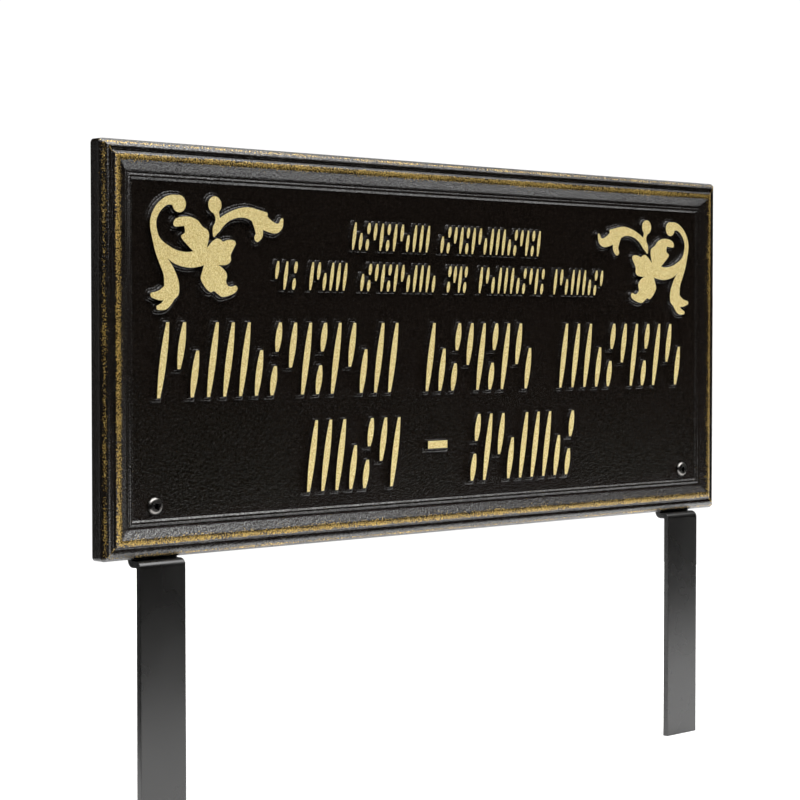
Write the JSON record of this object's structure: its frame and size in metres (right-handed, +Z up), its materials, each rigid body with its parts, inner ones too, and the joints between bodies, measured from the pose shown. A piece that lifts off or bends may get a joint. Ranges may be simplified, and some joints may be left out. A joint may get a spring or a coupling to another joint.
{
  "type": "memorial plaque",
  "caption": "Wide cast memorial plaque with a stepped moulded frame, corner ornaments and rows of raised strokes, held by flat joggled lawn stakes.",
  "frame": {"origin": "on the ground, midway between the two stakes, in the mid-plane of their bars", "axes": "+X to the viewer's right along the plaque, -Y the way the plaque's face looks, +Z up"},
  "size_m": [0.4316, 0.01, 0.3095],
  "materials": {
    "cast_black": "satin black paint on a pebbled casting, with pale gold paint on the raised work and rubbed gold along the frame's edges",
    "stake_black": "satin black paint on flat steel bar",
    "screw_black": "black oxide steel with a satin gleam"
  },
  "bodies": {
    "root": {"plaque": "cast_black", "stake_left": "stake_black", "stake_right": "stake_black", "screw_left": "screw_black", "screw_right": "screw_black"}
  },
  "joints": []
}
